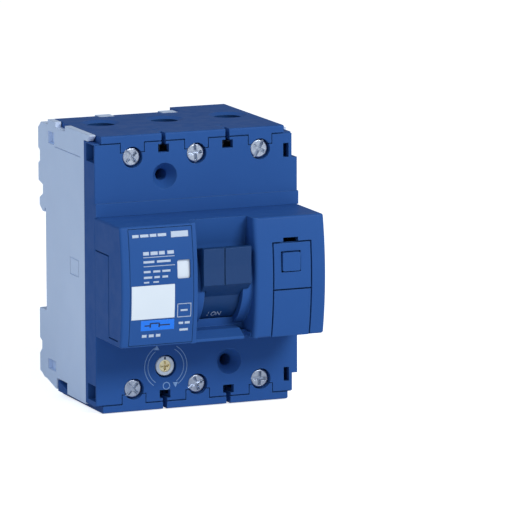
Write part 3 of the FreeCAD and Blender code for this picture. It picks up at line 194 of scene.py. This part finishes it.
def new_group(name, inputs, outputs):
    group = bpy.data.node_groups.new(name, "ShaderNodeTree")
    for label, kind, value in inputs:
        socket = group.interface.new_socket(label, in_out="INPUT", socket_type=kind)
        socket.default_value = value
    for label, kind in outputs:
        group.interface.new_socket(label, in_out="OUTPUT", socket_type=kind)
    return group, group.nodes.new("NodeGroupInput"), group.nodes.new("NodeGroupOutput")


def mixed(tree, how, amount, first, second):
    node = tree.nodes.new("ShaderNodeMix")
    node.data_type = "RGBA"
    node.blend_type = how
    sockets = (node.inputs["Factor"], node.inputs[6], node.inputs[7])
    for socket, value in zip(sockets, (amount, first, second)):
        if isinstance(value, (int, float, tuple)):
            socket.default_value = value
        else:
            tree.links.new(value, socket)
    return node.outputs[2]


def noise(tree, vector, scale, detail):
    node = tree.nodes.new("ShaderNodeTexNoise")
    node.inputs["Scale"].default_value = scale
    node.inputs["Detail"].default_value = detail
    tree.links.new(vector, node.inputs["Vector"])
    return node.outputs["Fac"]


def ramp(tree, value, low, high, to_low, to_high):
    node = tree.nodes.new("ShaderNodeMapRange")
    node.inputs["From Min"].default_value = low
    node.inputs["From Max"].default_value = high
    for label, limit in (("To Min", to_low), ("To Max", to_high)):
        if isinstance(limit, (int, float)):
            node.inputs[label].default_value = limit
        else:
            tree.links.new(limit, node.inputs[label])
    tree.links.new(value, node.inputs["Value"])
    return node.outputs["Result"]


moulding, given, result = new_group(
    "moulded_plastic",
    [("Color", "NodeSocketColor", (0.1, 0.1, 0.1, 1)),
     ("Edge Highlight Color", "NodeSocketColor", (0.2, 0.2, 0.2, 1)),
     ("Clouding", "NodeSocketFloat", 0.2), ("Gloss Low", "NodeSocketFloat", 0.4),
     ("Gloss High", "NodeSocketFloat", 0.5), ("Grain", "NodeSocketFloat", 0.1),
     ("Edge Highlight Strength", "NodeSocketFloat", 0.4)],
    [("Color", "NodeSocketColor"), ("Roughness", "NodeSocketFloat"), ("Normal", "NodeSocketVector")])
place = moulding.nodes.new("ShaderNodeTexCoord").outputs["Object"]
cloud = noise(moulding, place, CLOUD_SCALE, 3)
pores = noise(moulding, place, PORE_SCALE, 2)
ripple = noise(moulding, place, RIPPLE_SCALE, 2)
shade = ramp(moulding, cloud, 0.3, 0.7, 0.0, given.outputs["Clouding"])
darker = mixed(moulding, "MULTIPLY", shade, given.outputs["Color"], CLOUD_TINT)
rounded = moulding.nodes.new("ShaderNodeBevel")
rounded.samples = 4
rounded.inputs["Radius"].default_value = EDGE_RADIUS
true_normal = moulding.nodes.new("ShaderNodeNewGeometry").outputs["Normal"]
facing = moulding.nodes.new("ShaderNodeVectorMath")
facing.operation = "DOT_PRODUCT"
moulding.links.new(rounded.outputs["Normal"], facing.inputs[0])
moulding.links.new(true_normal, facing.inputs[1])
# Painted highlight: where the bevelled normal bends away from the true one, the colour is mixed towards
# the lighter edge colour.
edge_highlight_mask = ramp(moulding, facing.outputs["Value"], 0.995, 0.8, 0.0, given.outputs["Edge Highlight Strength"])
moulding.links.new(mixed(moulding, "MIX", edge_highlight_mask, darker, given.outputs["Edge Highlight Color"]),
                   result.inputs["Color"])
gloss = ramp(moulding, ripple, 0.35, 0.65, given.outputs["Gloss Low"], given.outputs["Gloss High"])
moulding.links.new(gloss, result.inputs["Roughness"])
bump = moulding.nodes.new("ShaderNodeBump")
bump.inputs["Distance"].default_value = PORE_DEPTH
moulding.links.new(given.outputs["Grain"], bump.inputs["Strength"])
moulding.links.new(pores, bump.inputs["Height"])
moulding.links.new(rounded.outputs["Normal"], bump.inputs["Normal"])
moulding.links.new(bump.outputs["Normal"], result.inputs["Normal"])
print("group", moulding.name, "with", len(moulding.nodes), "nodes")

# %% [markdown]
# Each plastic is the same group with its own dials: navy for the housing, a darker teal-navy with
# a stronger grain for the lever, and a satin pale blue-grey for the rear casing. The shader itself
# stays in the material, with the group feeding its colour, roughness and normal.

# %% Plastics


# The edge colour and its strength set the painted highlight along every edge.
def plastic(name, colour, edge_highlight_colour, clouding, gloss_low, gloss_high, grain, edge_highlight_strength, specular=0.5):
    paint = bpy.data.materials.new(name)
    paint.use_nodes = True
    tree = paint.node_tree
    shader = tree.nodes["Principled BSDF"]
    shader.inputs["Specular IOR Level"].default_value = specular
    dials = tree.nodes.new("ShaderNodeGroup")
    dials.node_tree = moulding
    dials.inputs["Color"].default_value = (*colour, 1)
    dials.inputs["Edge Highlight Color"].default_value = (*edge_highlight_colour, 1)
    dials.inputs["Clouding"].default_value = clouding
    dials.inputs["Gloss Low"].default_value = gloss_low
    dials.inputs["Gloss High"].default_value = gloss_high
    dials.inputs["Grain"].default_value = grain
    dials.inputs["Edge Highlight Strength"].default_value = edge_highlight_strength
    tree.links.new(dials.outputs["Color"], shader.inputs["Base Color"])
    tree.links.new(dials.outputs["Roughness"], shader.inputs["Roughness"])
    tree.links.new(dials.outputs["Normal"], shader.inputs["Normal"])
    return paint


# The second colour of each plastic is its painted edge highlight.
navy = plastic("navy_moulding", (0.028, 0.102, 0.335), (0.08, 0.21, 0.50),
               0.25, 0.40, 0.50, 0.25, 0.45, 0.07)
lever_navy = plastic("lever_moulding", (0.008, 0.048, 0.165), (0.05, 0.14, 0.33),
                     0.2, 0.42, 0.55, 0.6, 0.45, 0.3)
pale_grey = plastic("casing_moulding", (0.67, 0.79, 1.0), (0.80, 0.88, 1.0),
                    0.2, 0.42, 0.52, 0.2, 0.3)
print_white = plastic("printed_white", (0.54, 0.64, 0.79), (0.7, 0.78, 0.88),
                      0.1, 0.4, 0.5, 0.1, 0.1)
print_blue = plastic("printed_pale_blue", (0.20, 0.36, 0.66), (0.3, 0.45, 0.7),
                     0.1, 0.4, 0.5, 0.1, 0.1)
print_dark = plastic("printed_dark", (0.01, 0.03, 0.09), (0.03, 0.06, 0.12),
                     0.1, 0.4, 0.5, 0.1, 0.1)
dark_inside = plastic("inner_moulding", (0.02, 0.022, 0.03), (0.05, 0.05, 0.06),
                      0.2, 0.5, 0.6, 0.3, 0.3)
white_part = plastic("white_moulding", (0.78, 0.86, 0.93), (0.86, 0.9, 0.95),
                     0.1, 0.3, 0.38, 0.1, 0.2)
tile_blue = plastic("blue_tile", (0.006, 0.20, 0.90), (0.03, 0.3, 0.95),
                    0.1, 0.25, 0.32, 0.1, 0.2)
fault_red = plastic("red_moulding", (0.62, 0.03, 0.02), (0.7, 0.08, 0.06),
                    0.1, 0.3, 0.38, 0.1, 0.2)
print("plastics:", navy.name, lever_navy.name, pale_grey.name, white_part.name)

# %% [markdown]
# The metal parts are plated or bare. Zinc plating is bright with a faint bluish bloom, and its
# turned faces are brushed, so the group mixes two noises, one stretched into fine scratches. The
# same group with a yellow tint is the passivated zinc, and with a copper tint the bare conductors.

# %% Shader group and metals
BLOOM_SCALE = 380
SCRATCH_SCALE = 3200
SCRATCH_STRETCH = (1, 0.08, 1)
SCRATCH_STRENGTH = 0.07
SCRATCH_DEPTH = 0.03 * MM
METAL_EDGE_RADIUS = 0.2 * MM

plating, given, result = new_group(
    "plated_metal",
    [("Color", "NodeSocketColor", (0.8, 0.8, 0.8, 1)),
     ("Bloom", "NodeSocketColor", (0.6, 0.65, 0.75, 1)),
     ("Roughness Low", "NodeSocketFloat", 0.2), ("Roughness High", "NodeSocketFloat", 0.4)],
    [("Color", "NodeSocketColor"), ("Roughness", "NodeSocketFloat"), ("Normal", "NodeSocketVector")])
place = plating.nodes.new("ShaderNodeTexCoord").outputs["Object"]
stretch = plating.nodes.new("ShaderNodeMapping")
stretch.inputs["Scale"].default_value = SCRATCH_STRETCH
plating.links.new(place, stretch.inputs["Vector"])
bloom = ramp(plating, noise(plating, place, BLOOM_SCALE, 3), 0.35, 0.7, 0.0, 1.0)
scratch = noise(plating, stretch.outputs["Vector"], SCRATCH_SCALE, 2)
plating.links.new(mixed(plating, "MIX", bloom, given.outputs["Color"], given.outputs["Bloom"]),
                  result.inputs["Color"])
plating.links.new(ramp(plating, scratch, 0.3, 0.7, given.outputs["Roughness Low"],
                       given.outputs["Roughness High"]), result.inputs["Roughness"])
rounded = plating.nodes.new("ShaderNodeBevel")
rounded.samples = 4
rounded.inputs["Radius"].default_value = METAL_EDGE_RADIUS
bump = plating.nodes.new("ShaderNodeBump")
bump.inputs["Strength"].default_value = SCRATCH_STRENGTH
bump.inputs["Distance"].default_value = SCRATCH_DEPTH
plating.links.new(scratch, bump.inputs["Height"])
plating.links.new(rounded.outputs["Normal"], bump.inputs["Normal"])
plating.links.new(bump.outputs["Normal"], result.inputs["Normal"])


def metal(name, colour, bloom_colour, low, high):
    paint = bpy.data.materials.new(name)
    paint.use_nodes = True
    tree = paint.node_tree
    shader = tree.nodes["Principled BSDF"]
    shader.inputs["Metallic"].default_value = 1
    dials = tree.nodes.new("ShaderNodeGroup")
    dials.node_tree = plating
    dials.inputs["Color"].default_value = (*colour, 1)
    dials.inputs["Bloom"].default_value = (*bloom_colour, 1)
    dials.inputs["Roughness Low"].default_value = low
    dials.inputs["Roughness High"].default_value = high
    tree.links.new(dials.outputs["Color"], shader.inputs["Base Color"])
    tree.links.new(dials.outputs["Roughness"], shader.inputs["Roughness"])
    tree.links.new(dials.outputs["Normal"], shader.inputs["Normal"])
    return paint


bright_zinc = metal("bright_zinc", (0.56, 0.62, 0.72), (0.40, 0.46, 0.58), 0.28, 0.42)
yellow_zinc = metal("yellow_zinc", (0.88, 0.80, 0.50), (0.80, 0.66, 0.40), 0.2, 0.38)
plain_steel = metal("plain_steel", (0.58, 0.59, 0.61), (0.45, 0.46, 0.50), 0.3, 0.5)
copper = metal("bare_copper", (0.86, 0.48, 0.30), (0.70, 0.36, 0.22), 0.25, 0.45)
print("metals:", bright_zinc.name, yellow_zinc.name, plain_steel.name, copper.name)

# %% [markdown]
# Every measured part now gets the finish of its own material. Parts that come three or six to a
# breaker share the start of their names, so one table serves them all.

# %% Finishes for the measured parts
FINISHES = {
    "front_housing": navy, "nose_fascia": navy, "upper_terminal_cover": navy,
    "lower_terminal_cover": navy, "nameplate": navy, "accessory_door": navy,
    "push_to_trip_button": navy, "toggle_lever": lever_navy, "rear_casing": pale_grey,
    "circuit_label": white_part, "symbol_tile": tile_blue, "indicator_shutter": white_part,
    "indicator_fault_leaf": fault_red, "rail_lock_knob": white_part,
    "rail_lock_spindle": yellow_zinc, "rail_clip": dark_inside, "case_screws": bright_zinc,
    "terminal_screw": bright_zinc, "terminal_cage": bright_zinc, "line_strip": copper,
    "load_strip": copper, "moving_contact": copper, "contact_carrier": dark_inside,
    "trip_bar": dark_inside, "arc_chute": plain_steel, "magnetic_coil": copper,
    "magnet_core": plain_steel, "bimetal_strip": plain_steel, "mechanism_frame": plain_steel,
    "lever_pin": plain_steel, "drive_link": plain_steel, "button_spring": plain_steel}


def finish_for(node_name):
    return FINISHES[max((start for start in FINISHES if node_name.startswith(start)), key=len)]


for node_name, part in nodes.items():
    part.data.materials.clear()
    part.data.materials.append(finish_for(node_name))
print("finished", len(nodes), "parts with", len({finish_for(name).name for name in nodes}), "materials")

# %% [markdown]
# The marks on the front are pad printed: a film of ink a few hundredths of a millimetre thick that
# follows the bow of the nose. A flat grid is laid in front of the part, shrink-wrapped back onto it
# along the depth, and given the ink's thickness by Solidify. Real lettering is replaced by plain
# dashes, which keep the rhythm of the rows without saying anything.

# %% Laying ink on a surface
INK = 0.07 * MM
RULE = 0.28
START_Y = cad_box[0][1] - 4 * MM


def flat_grid(left, right, low, high, columns=1, rows=4):
    """An upright grid that faces the front, clear of the breaker; sizes in millimetres."""
    centre = ((left + right) / 2 * MM, START_Y, (low + high) / 2 * MM)
    bpy.ops.mesh.primitive_grid_add(x_subdivisions=columns, y_subdivisions=rows, size=1, location=centre,
                                    rotation=(math.pi / 2, 0, 0))
    grid = bpy.context.object
    grid.scale = ((right - left) * MM, (high - low) * MM, 1)
    bpy.ops.object.transform_apply(location=True, rotation=True, scale=True)
    return grid


def join_all(pieces):
    nothing_selected()
    for piece in pieces:
        piece.select_set(True)
    bpy.context.view_layer.objects.active = pieces[0]
    if len(pieces) > 1:
        bpy.ops.object.join()
    return pieces[0]


def lay_ink(piece, name, part_name, ink, body="case"):
    """Wrap a flat piece onto a part from the front, thicken it and let it ride."""
    nothing_selected()
    piece.select_set(True)
    bpy.context.view_layer.objects.active = piece
    piece.name = name
    wrap = piece.modifiers.new("wrap", "SHRINKWRAP")
    wrap.wrap_method = "PROJECT"
    wrap.use_project_y = True
    wrap.use_positive_direction = True
    wrap.use_negative_direction = False
    wrap.target = nodes[part_name]
    bpy.ops.object.modifier_apply(modifier="wrap")
    film = piece.modifiers.new("film", "SOLIDIFY")
    film.thickness = INK
    film.offset = 0.5
    bpy.ops.object.modifier_apply(modifier="film")
    piece.data.materials.append(ink)
    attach(piece, body)
    low_y = min(v.co.y for v in piece.data.vertices)
    print(name, "faces", len(piece.data.polygons), "front y", round(low_y / MM, 2), "mm")
    return piece


# %% [markdown]
# The nameplate carries a pale bar at the top, ruled rows in the middle, and a small framed sign with
# a few dashes below. Each row is a list of dashes, given by where each starts and ends.

# %% Marks on the nameplate


def dash_row(dashes, middle_z, height):
    low, high = middle_z - height / 2, middle_z + height / 2
    return [flat_grid(left, right, low, high, rows=2) for left, right in dashes]


def frame_bars(left, right, low, high):
    return [flat_grid(left, right, high - RULE, high),
            flat_grid(left, right, low, low + RULE),
            flat_grid(left, left + RULE, low, high, rows=8),
            flat_grid(right - RULE, right, low, high, rows=8)]


name_dashes = [(-35.8, -33.2), (-32.7, -29.4), (-28.9, -26.3), (-25.8, -22.4)]
name_bar = join_all(dash_row(name_dashes, 18.6, 1.1))
lay_ink(name_bar, "print_upper_dashes", "nameplate", print_white)
pale_bar = flat_grid(-20.6, -13.8, 17.4, 19.6, columns=4)
lay_ink(pale_bar, "print_pale_bar", "nameplate", print_white)

rows = dash_row([(-31.9, -29.6), (-29.0, -26.2), (-25.7, -23.4), (-22.4, -19.8)], 12.1, 1.3)
rows += dash_row([(-31.9, -19.6)], 10.7, RULE) + dash_row([(-31.9, -19.6)], 7.4, RULE)
rows += dash_row([(-31.9, -27.6), (-26.6, -21.2)], 9.0, 0.85)
rows += dash_row([(-31.9, -29.2), (-28.2, -25.4), (-24.6, -21.4)], 5.4, 0.8)
rows += dash_row([(-31.9, -28.6), (-27.8, -25.6), (-24.6, -22.4)], 3.3, 0.8)
rows += dash_row([(-31.9, -29.8), (-28.2, -26.0)], 1.5, 0.6)
lay_ink(join_all(rows), "print_rating_rows", "nameplate", print_white)

below = dash_row([(-32.3, -30.4), (-29.6, -27.6), (-26.8, -25.0)], -18.7, 1.1)
below += dash_row([(-18.0, -16.2), (-15.6, -13.6)], -14.6, 0.9) + dash_row([(-17.6, -14.2)], -17.2, 0.9)
below += frame_bars(-18.7, -13.2, -12.4, -7.2) + dash_row([(-17.4, -14.6)], -9.8, 0.7)
lay_ink(join_all(below), "print_symbols", "nameplate", print_white)

contact_mark = dash_row([(-31.4, -29.2), (-25.6, -21.4)], -14.8, 0.45)
contact_mark += dash_row([(-29.2, -25.9)], -14.0, 0.45)
contact_mark += [flat_grid(-29.4, -28.9, -15.6, -13.9), flat_grid(-25.9, -25.4, -15.6, -13.9)]
lay_ink(join_all(contact_mark), "print_contact_symbol", "symbol_tile", print_dark)

# %% [markdown]
# The rail lock is turned by a screwdriver, so a pair of arc arrows is printed round its knob. An arc
# starts as a filled circle: inset leaves a ring, the inner face is deleted, and then every face
# outside the arc's sweep. A small triangle, made from a three-sided circle, is its head.

# %% Arrows round the rail lock
knob_low, knob_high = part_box("rail_lock_knob")
LOCK_X = (knob_low.x + knob_high.x) / 2 / MM
LOCK_Z = (knob_low.z + knob_high.z) / 2 / MM


def flat_circle(x, z, radius, corners):
    bpy.ops.mesh.primitive_circle_add(vertices=corners, radius=radius * MM, fill_type="NGON",
                                      location=(x * MM, START_Y, z * MM),
                                      rotation=(math.pi / 2, 0, 0))
    circle = bpy.context.object
    bpy.ops.object.transform_apply(location=True, rotation=True, scale=True)
    return circle


def ring(x, z, outer, width, keep=lambda angle: True, corners=72):
    """A flat ring; only the faces whose angle is kept stay."""
    piece = flat_circle(x, z, outer, corners)
    bpy.ops.object.mode_set(mode="EDIT")
    bpy.ops.mesh.select_all(action="SELECT")
    bpy.ops.mesh.inset(thickness=width * MM)
    bpy.ops.mesh.delete(type="FACE")
    bpy.ops.object.mode_set(mode="OBJECT")
    for face in piece.data.polygons:
        angle = math.degrees(math.atan2(face.center.z - z * MM, face.center.x - x * MM)) % 360
        face.select = not keep(angle)
    bpy.ops.object.mode_set(mode="EDIT")
    bpy.ops.mesh.select_mode(type="FACE")
    bpy.ops.mesh.delete(type="FACE")
    bpy.ops.object.mode_set(mode="OBJECT")
    return piece


def arrow_head(angle, radius, size, turn):
    a = math.radians(angle)
    head = flat_circle(0, 0, size, 3)
    head.rotation_euler = (0, -math.radians(turn), 0)
    head.location = ((LOCK_X + radius * math.cos(a)) * MM, 0, (LOCK_Z + radius * math.sin(a)) * MM)
    bpy.ops.object.transform_apply(location=True, rotation=True, scale=True)
    return head


def sweep(start, end):
    return lambda angle: start <= angle <= end


ARC_WIDTH = 0.3
ARC_RADII = (8.6, 7.3)
arcs = [ring(LOCK_X, LOCK_Z, ARC_RADII[0], ARC_WIDTH, sweep(120, 236)),
        ring(LOCK_X, LOCK_Z, ARC_RADII[1], ARC_WIDTH, sweep(124, 236))]
for start, end in ((-1, 58), (304, 361)):
    arcs += [ring(LOCK_X, LOCK_Z, radius, ARC_WIDTH, sweep(start, end)) for radius in ARC_RADII]
arcs += [arrow_head(angle, 7.9, 1.3, angle) for angle in (117, 299)]
lay_ink(join_all(arcs), "print_lock_arrows", "front_housing", print_blue)
lay_ink(ring(LOCK_X + 0.2, LOCK_Z - 7.4, 1.5, 0.4), "print_lock_ring", "front_housing", print_blue)
pointer = flat_grid(LOCK_X - 0.35, LOCK_X + 0.35, LOCK_Z + 2.45, LOCK_Z + 3.4, rows=2)
lay_ink(pointer, "print_knob_pointer", "rail_lock_knob", print_dark, body="lock")

# %% [markdown]
# The drum under the paddle says that the breaker is closed, with the usual sign and word in plain
# letters. Text is first made a mesh, stood upright, and then wrapped onto the drum like the other
# ink. It rides on the lever.

# %% Word on the drum
lever_low, lever_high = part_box("toggle_lever")
LEVER_X = (lever_low.x + lever_high.x) / 2 / MM
WORD_SIZE = 2.6 * MM
WORD_SHIFT = -0.9
WORD_Z = -14.9

bpy.ops.object.text_add(location=(0, 0, 0))
word = bpy.context.object
word.data.body = "I ON"
word.data.size = WORD_SIZE
word.data.align_x = "CENTER"
bpy.ops.object.convert(target="MESH")
word = bpy.context.object
word.rotation_euler = (math.pi / 2, 0, 0)
word.location = ((LEVER_X + WORD_SHIFT) * MM, START_Y, WORD_Z * MM)
bpy.ops.object.transform_apply(location=True, rotation=True, scale=True)
lay_ink(word, "print_on_word", "toggle_lever", print_white, body="lever")
